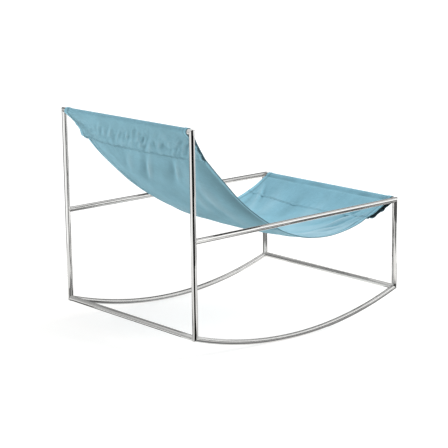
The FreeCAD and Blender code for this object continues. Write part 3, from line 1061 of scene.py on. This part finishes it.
        bars = [hang_cut(self.hang.length), hang_cut(0.0)]
        places = {
            "hems": [fold, wide - fold],
            "hem_highlight_bands": [2 * fold, wide - 2 * fold],
            "sleeves": bars,
            "hem_shade_lines": [place for edge in edges for place in (edge, wide - edge)],
            "seam_shade_lines": [row.cut for row in self.seam_rows()] + [*bars, hang_cut(15 * MM)],
            "bar_dip_shade": [hang_cut(11 * MM)],
            "right_edge_shade": [wide - fold],
        }
        return {name: [place / CUT_SPAN for place in line] for name, line in places.items()}

    def stitch_lines(self):
        """Stitch rows on both faces: lines of points, and the outward directions of all points."""
        s = self.s
        proud = s.thickness / 2 + 0.35 * s.thread_radius
        seam_half = self.half - 4 * MM
        seam_clear = 16 * MM
        lines, ups = [], []
        for row in self.seam_rows():
            lines.append([self.spot(row, seam_half * (1 - 2 * i / self.SEAM_POINTS), proud)
                          for i in range(self.SEAM_POINTS + 1)])
            ups += [row.normal] * len(lines[-1])
        hanging = [r for r in self.rows if r.layer == "hang"]
        free = [r for r in hanging
                if s.rear_depth + seam_clear < r.run < self.hang.length - s.front_depth - seam_clear]
        inset = self.HEM_STITCH * s.hem_width
        for x in (self.half - inset, inset - self.half):
            lines.append([self.spot(r, x, proud) for r in hanging])
            ups += [r.normal for r in hanging]
            lines.append([self.spot(r, x, -proud - self.layer) for r in free])
            ups += [-r.normal for r in free]
        return lines, ups


# Stage


def seen_directly(tree):
    """1 for the camera's rays and those that steel or glass sends on, 0 for rays of light."""
    rays = tree.nodes.new("ShaderNodeLightPath")
    seen = math_value(tree, "MAXIMUM", (rays, "Is Camera Ray"), (rays, "Is Glossy Ray"))
    return math_value(tree, "MAXIMUM", seen, (rays, "Is Transmission Ray"))


# Glow of the floor where it isn't shaded, the distances over which its shading fades out, and its
# half width
FLOOR_GLOW = 1.24
FLOOR_FADE = (0.7, 2.0)
FLOOR_REACH = 40.0


def studio_floor(colour, shade):
    """Pale floor that the camera and the steel see as nearly white, with the chair's shadow on it."""
    material, tree, shader = new_material(
        "studio_floor", base_color=(*colour, 1.0), roughness=1.0, specular_ior_level=0.0)
    white = add_node(tree, "ShaderNodeEmission", color=WHITE, strength=FLOOR_GLOW)
    reach = tree.nodes.new("ShaderNodeVectorMath")
    reach.operation = "LENGTH"
    fill(reach.inputs[0], object_place(tree))
    white_share = ranged(tree, (reach, "Value"), *FLOOR_FADE, 1 - shade, 1.0)
    whitened = math_value(tree, "MULTIPLY", seen_directly(tree), white_share)
    mix = tree.nodes.new("ShaderNodeMixShader")
    for socket, value in zip(mix.inputs, (whitened, (shader, "BSDF"), (white, "Emission"))):
        fill(socket, value)
    set_inputs(tree.nodes["Material Output"], surface=(mix, "Shader"))
    return material


def studio_card(name, brightness):
    """Evenly bright grey card, such as a flag or a reflector."""
    material, _, _ = new_material(
        name, base_color=BLACK, roughness=1.0, specular_ior_level=0.0, emission_color=WHITE,
        emission_strength=brightness)
    return material


def stage_panel(name, points, faces, material):
    """Panel of the stage, which isn't part of the chair."""
    mesh = bpy.data.meshes.new(name)
    mesh.from_pydata(points, [], faces)
    mesh.materials.append(material)
    panel = bpy.data.objects.new(name, mesh)
    bpy.context.collection.objects.link(panel)
    return panel


def flat_panel(name, corners, material):
    """Four-cornered stage panel."""
    return stage_panel(name, corners, [(0, 1, 2, 3)], material)


def strip_panel(name, first, second, material):
    """Stage panel between two lines of points."""
    count = len(first)
    faces = [(i, i + 1, count + i + 1, count + i) for i in range(count - 1)]
    return stage_panel(name, first + second, faces, material)


def seen_in_steel_only(panel):
    """Hides a card from everything but reflections."""
    panel.visible_camera = panel.visible_diffuse = panel.visible_shadow = False
    panel.visible_transmission = panel.visible_volume_scatter = False


# Height of a card that lies on the floor
OVER_FLOOR = 2 * MM


def standing(start, end, low, high):
    """Corners of an upright card over a line on the floor."""
    return [(*start, low), (*end, low), (*end, high), (*start, high)]


def lying(start, end, height=OVER_FLOOR):
    """Corners of a level card, just over the floor or higher, between two opposite corners."""
    (x0, y0), (x1, y1) = start, end
    return [(x, y, height) for x, y in ((x0, y0), (x1, y0), (x1, y1), (x0, y1))]


# Glowing studio cards that show only in the polished tubes, with their brightness: white is 1. They are
# painted reflections, which give no light and cast no shadow.
CARDS = {
    "reflector_behind": (standing((0.2, 1.4), (0.65, 1.4), 0.0, 0.9), 1.9),
    "reflector_beside": (standing((-1.32, -1.7), (-1.32, -0.3), 0.75, 1.2), 2.2),
    "flag_far_wall": (standing((1.2, 1.0), (1.2, 3.0), 0.0, 0.9), 0.65),
    "flag_middle_wall": (standing((1.2, -0.1), (1.2, 1.0), 0.45, 0.9), 0.5),
    "flag_low_wall": (standing((1.2, -0.1), (1.2, 1.0), 0.0, 0.45), 0.2),
    "flag_front_wall": (standing((1.2, -2.6), (1.2, -0.1), 0.0, 0.9), 0.3),
    "flag_high_wall": (standing((1.2, 0.0), (1.2, 0.9), 0.9, 1.4), 0.3),
    "flag_left_wall": (standing((0.85, -0.5), (0.85, 0.2), 0.4, 1.0), 0.4),
    "flag_side_wall": (standing((-0.5, -0.28), (-0.5, -0.18), 0.74, 0.98), 0.08),
    "flag_side_rail": (standing((-0.45, -0.8), (-0.45, -0.08), 0.3, 0.378), 0.12),
    "flag_side_low": (standing((-0.9, -1.3), (-0.9, -0.3), 0.28, 0.46), 0.4),
    "flag_side_foot": (standing((-1.25, -2.0), (-1.25, -1.45), 0.0, 0.75), 0.12),
    "flag_overhead": (lying((-0.62, -0.32), (0.02, -0.1), 1.0), 0.06),
    "flag_overhead_left": (lying((0.5, -0.62), (0.95, -0.2), 0.9), 0.08),
    "flag_overhead_far": (lying((0.05, -0.6), (0.32, -0.2), 0.9), 0.12),
    "flag_overhead_middle": (lying((-0.18, -0.7), (0.05, -0.3), 0.9), 0.3),
    "flag_ceiling": (lying((0.35, -3.9), (3.0, -1.7), 3.0), 0.05),
    "flag_ahead_floor": (lying((-0.6, -1.3), (0.3, -0.86)), 0.12),
    "flag_rear_floor": (lying((-0.2, 0.56), (0.42, 0.78)), 0.2),
    "flag_under_floor": (lying((-0.2, 0.25), (0.28, 0.46)), 0.1),
    "flag_inner_rear_floor": (lying((0.0, 0.04), (0.27, 0.25)), 0.15),
    "flag_corner_floor": (lying((0.28, 0.4), (0.42, 0.52)), 0.1),
    "flag_front_floor": (lying((-0.75, -0.85), (-0.46, -0.15)), 0.08),
    # Painted shade: grey card for the chair's shade on the floor by its near front corner, as the steel
    # reflects it
    "shadow_card_near_front_floor": (lying((-0.46, -0.85), (-0.2, -0.15)), 0.4),
    "flag_near_floor": (lying((-0.5, -0.15), (-0.34, 0.46)), 0.3),
    "flag_far_floor": (lying((0.27, -0.4), (0.318, 0.46)), 0.35),
    "flag_left_floor": (lying((0.5, -0.4), (1.19, 0.3)), 0.1),
    # Painted shade: grey card for the chair's shadow on the floor under its middle, as the steel reflects
    # it
    "shadow_card_middle_floor": (lying((-0.3, -0.15), (0.0, 0.25)), 0.4),
}
# Painted reflections too: black panels that show only in the steel
# Low black flags round the chair, in degrees and metres: start, end, floor's inner edge, foot, top
FLAG_RADIUS = 1.0
FLAG_STEPS = 12
FLAG_ARCS = ((121.0, 152.0, 0.68, 0.0, 0.8), (152.0, 165.0, FLAG_RADIUS, 0.15, 0.8),
             (165.0, 176.0, FLAG_RADIUS, 0.38, 0.6), (190.0, 220.0, FLAG_RADIUS, 0.1, 0.25))
FLAG_BRIGHTNESS = 0.01

# Lamps: name, place and size in metres. All face the same point of the chair.
LAMPS = (("overhead_softbox", (-0.4, -1.0, 3.0), 3.0), ("side_softbox", (2.4, 1.7, 0.75), 1.0),
         ("front_softbox", (-1.7, -2.0, 1.6), 0.8))
LAMP_AIM = (0.0, 0.0, 0.35)
SENSOR_WIDTH = 36.0


def white_world(strength):
    """White surroundings: plain white to the camera and to reflections, softer as a light."""
    world = bpy.data.worlds.new("white_studio")
    bpy.context.scene.world = world
    world.use_nodes = True
    tree = world.node_tree
    tree.nodes.clear()
    level = ranged(tree, seen_directly(tree), 0.0, 1.0, strength, 1.0)
    sky = add_node(tree, "ShaderNodeBackground", color=WHITE, strength=level)
    add_node(tree, "ShaderNodeOutputWorld", surface=(sky, "Background"))


def add_flag_arcs():
    """Black flags in arcs round the chair, each with a wall and a strip of floor inside it."""
    black = studio_card("black_flag", FLAG_BRIGHTNESS)
    for number, (start, end, near, low, high) in enumerate(FLAG_ARCS):
        turns = [math.radians(start + (end - start) * i / FLAG_STEPS) for i in range(FLAG_STEPS + 1)]
        base = low + OVER_FLOOR
        inner, foot, top = (
            [(radius * math.cos(turn), radius * math.sin(turn), height) for turn in turns]
            for radius, height in ((near, base), (FLAG_RADIUS, base), (FLAG_RADIUS, high)))
        seen_in_steel_only(strip_panel(f"flag_arc_{number}_floor", inner, foot, black))
        seen_in_steel_only(strip_panel(f"flag_arc_{number}_wall", foot, top, black))


def facing(place, aim, roll=0.0):
    """Matrix of a lamp or camera at a place that looks at another, turned about its line of sight."""
    turn = (aim - place).to_track_quat("-Z", "Y").to_matrix() @ Matrix.Rotation(roll, 3, "Z")
    return Matrix.Translation(place) @ turn.to_4x4()


def add_softbox(name, place, size, power):
    """Square lamp that faces the chair and doesn't show in the steel."""
    lamp = bpy.data.lights.new(name, "AREA")
    lamp.shape = "SQUARE"
    lamp.size = size
    lamp.energy = power
    softbox = bpy.data.objects.new(name, lamp)
    softbox.matrix_world = facing(Vector(place), Vector(LAMP_AIM))
    softbox.visible_glossy = False
    bpy.context.collection.objects.link(softbox)


def add_camera(settings):
    """Camera that sees the chair as the photograph does."""
    camera = bpy.data.cameras.new("camera")
    camera.lens = settings.camera_lens
    camera.sensor_width = SENSOR_WIDTH
    viewer = bpy.data.objects.new("camera", camera)
    viewer.matrix_world = facing(
        Vector(settings.camera_place), Vector(settings.camera_aim), settings.camera_roll)
    bpy.context.collection.objects.link(viewer)
    bpy.context.scene.camera = viewer


# Operators


class ROCKER_OT_tubes(bpy.types.Operator):
    """Add the twelve steel tubes of the frame"""

    bl_idname = "rocking_chair.add_tubes"
    bl_label = "Add Frame Tubes"

    def execute(self, context):
        settings = context.scene.rocking_chair.frame
        steel = polished_steel(settings.steel_colour)
        for node, tube in frame_tubes(settings).items():
            piece = new_piece(f"{node}_tube", tube.mesh(f"{node}_tube"), steel)
            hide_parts(node)
        return {"FINISHED"}


class ROCKER_OT_welds(bpy.types.Operator):
    """Add the weld beads of the frame's corners"""

    bl_idname = "rocking_chair.add_welds"
    bl_label = "Add Welds"

    def execute(self, context):
        settings = context.scene.rocking_chair.frame
        tubes = frame_tubes(settings)
        tree = weld_tree(weld_steel(settings.weld_colour))
        both_ends = (0, -1)
        fillets = [tubes[bar].rings[end] for end in both_ends
                   for bar in ("rear_bottom_bar", "front_bottom_bar", "front_sling_bar")]
        mitres = [tubes[tube].rings[end] for end in both_ends
                  for tube in ("rear_sling_bar", "rocker_left", "rocker_right")]
        for arm in ("arm_rail_left", "arm_rail_right"):
            fillets.append(tubes[arm].rings[-1])
            mitres.append(tubes[arm].rings[0])
        for name, rings, radius in (("fillet_welds", fillets, settings.fillet_bead),
                                    ("mitre_welds", mitres, settings.mitre_bead)):
            mesh = grown_mesh(name, line_object(name, rings, True), tree,
                              {"Bead Radius": radius, "Bead Sides": 10})
            new_piece(name, mesh)
        return {"FINISHED"}


class ROCKER_OT_sling(bpy.types.Operator):
    """Add the canvas sling, sewn round the two upper bars"""

    bl_idname = "rocking_chair.add_sling"
    bl_label = "Add Sling"

    def execute(self, context):
        settings = context.scene.rocking_chair.sling
        sling = Sling(settings)
        canvas = woven_canvas(settings.canvas_colour, sling.marks())
        piece = new_piece("canvas_sling", sling.mesh("canvas_sling"), canvas)
        wall = piece.modifiers.new("canvas thickness", "SOLIDIFY")
        wall.thickness = settings.thickness
        wall.offset = 0.0
        piece.visible_glossy = False
        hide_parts("sling_panel", "sling_rear_sleeve", "sling_front_sleeve",
                    "sling_hem_left", "sling_hem_right")
        return {"FINISHED"}


class ROCKER_OT_stitching(bpy.types.Operator):
    """Add the thread of the sleeves' seams and the side hems"""

    bl_idname = "rocking_chair.add_stitching"
    bl_label = "Add Stitching"

    def execute(self, context):
        settings = context.scene.rocking_chair.sling
        sling = Sling(settings)
        lines, ups = sling.stitch_lines()
        tree = stitch_tree(sewing_thread(settings.thread_colour))
        guide = line_object("sling_stitching", lines, False, ups)
        mesh = grown_mesh("sling_stitching", guide, tree, {
            "Pitch": settings.stitch_pitch, "Stitch Length": settings.stitch_length,
            "Thread Radius": settings.thread_radius})
        thread = new_piece("sling_stitching", mesh)
        sling.flat_size()
        return {"FINISHED"}


class ROCKER_OT_stage(bpy.types.Operator):
    """Set up the camera, the floor and the studio light"""

    bl_idname = "rocking_chair.add_stage"
    bl_label = "Add Stage"

    def execute(self, context):
        settings = context.scene.rocking_chair.stage
        context.scene.view_settings.view_transform = "Standard"
        white_world(settings.dome_strength)
        flat_panel("studio_floor", lying((-FLOOR_REACH, -FLOOR_REACH), (FLOOR_REACH, FLOOR_REACH), 0),
                   studio_floor(settings.floor_colour, settings.floor_shade))
        for name, (corners, brightness) in CARDS.items():
            seen_in_steel_only(flat_panel(name, corners, studio_card(name, brightness)))
        add_flag_arcs()
        powers = (settings.softbox_power, settings.side_power, settings.front_power)
        for (name, place, size), power in zip(LAMPS, powers):
            add_softbox(name, place, size, power)
        add_camera(settings)
        return {"FINISHED"}


class ROCKER_PT_parts(bpy.types.Panel):
    """Buttons for the rocking chair's parts"""

    bl_idname = "ROCKER_PT_parts"
    bl_label = "Rocking Chair"
    bl_space_type = "VIEW_3D"
    bl_region_type = "UI"
    bl_category = "Rocking Chair"

    def draw(self, context):
        for operator in OPERATORS:
            self.layout.operator(operator.bl_idname)


OPERATORS = (ROCKER_OT_tubes, ROCKER_OT_welds, ROCKER_OT_sling, ROCKER_OT_stitching, ROCKER_OT_stage)
CLASSES = (ROCKER_PG_frame, ROCKER_PG_sling, ROCKER_PG_stage, ROCKER_PG_chair,
           *OPERATORS, ROCKER_PT_parts)


def register():
    """Registers the classes and the scene's settings."""
    for item in CLASSES:
        bpy.utils.register_class(item)
    bpy.types.Scene.rocking_chair = bpy.props.PointerProperty(type=ROCKER_PG_chair)


def unregister():
    """Takes the settings and the classes away again."""
    del bpy.types.Scene.rocking_chair
    for item in reversed(CLASSES):
        bpy.utils.unregister_class(item)


def main():
    """Builds the chair's looks and its stage."""
    register()
    bpy.ops.rocking_chair.add_tubes()
    bpy.ops.rocking_chair.add_welds()
    bpy.ops.rocking_chair.add_sling()
    bpy.ops.rocking_chair.add_stitching()
    bpy.ops.rocking_chair.add_stage()


if __name__ == "__main__":
    main()
